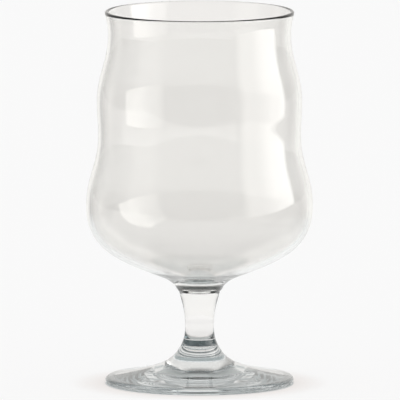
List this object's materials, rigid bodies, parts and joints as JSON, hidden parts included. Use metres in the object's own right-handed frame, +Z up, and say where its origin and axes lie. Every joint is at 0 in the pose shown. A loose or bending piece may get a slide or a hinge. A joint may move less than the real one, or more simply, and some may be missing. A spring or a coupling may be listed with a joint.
{
  "type": "beer glass",
  "caption": "Stemmed beer glass: a bulging, waisted bowl with a flared lip, welded to a short tapered stem and a round foot with a hollow underside.",
  "frame": {"origin": "centre of the foot's standing ring, on the surface that the glass stands on", "axes": "+Z up along the axis of the glass, towards the lip"},
  "size_m": [0.0886, 0.0886, 0.1464],
  "materials": {
    "blown_glass": "clear soda-lime glass, blown in a turning mould and fire-polished, faintly grey",
    "pressed_glass": "clear soda-lime glass, pressed and fire-polished, faintly grey-green where it is thick"
  },
  "bodies": {
    "root": {"bowl": "blown_glass", "stem": "pressed_glass", "foot": "pressed_glass"}
  },
  "joints": []
}
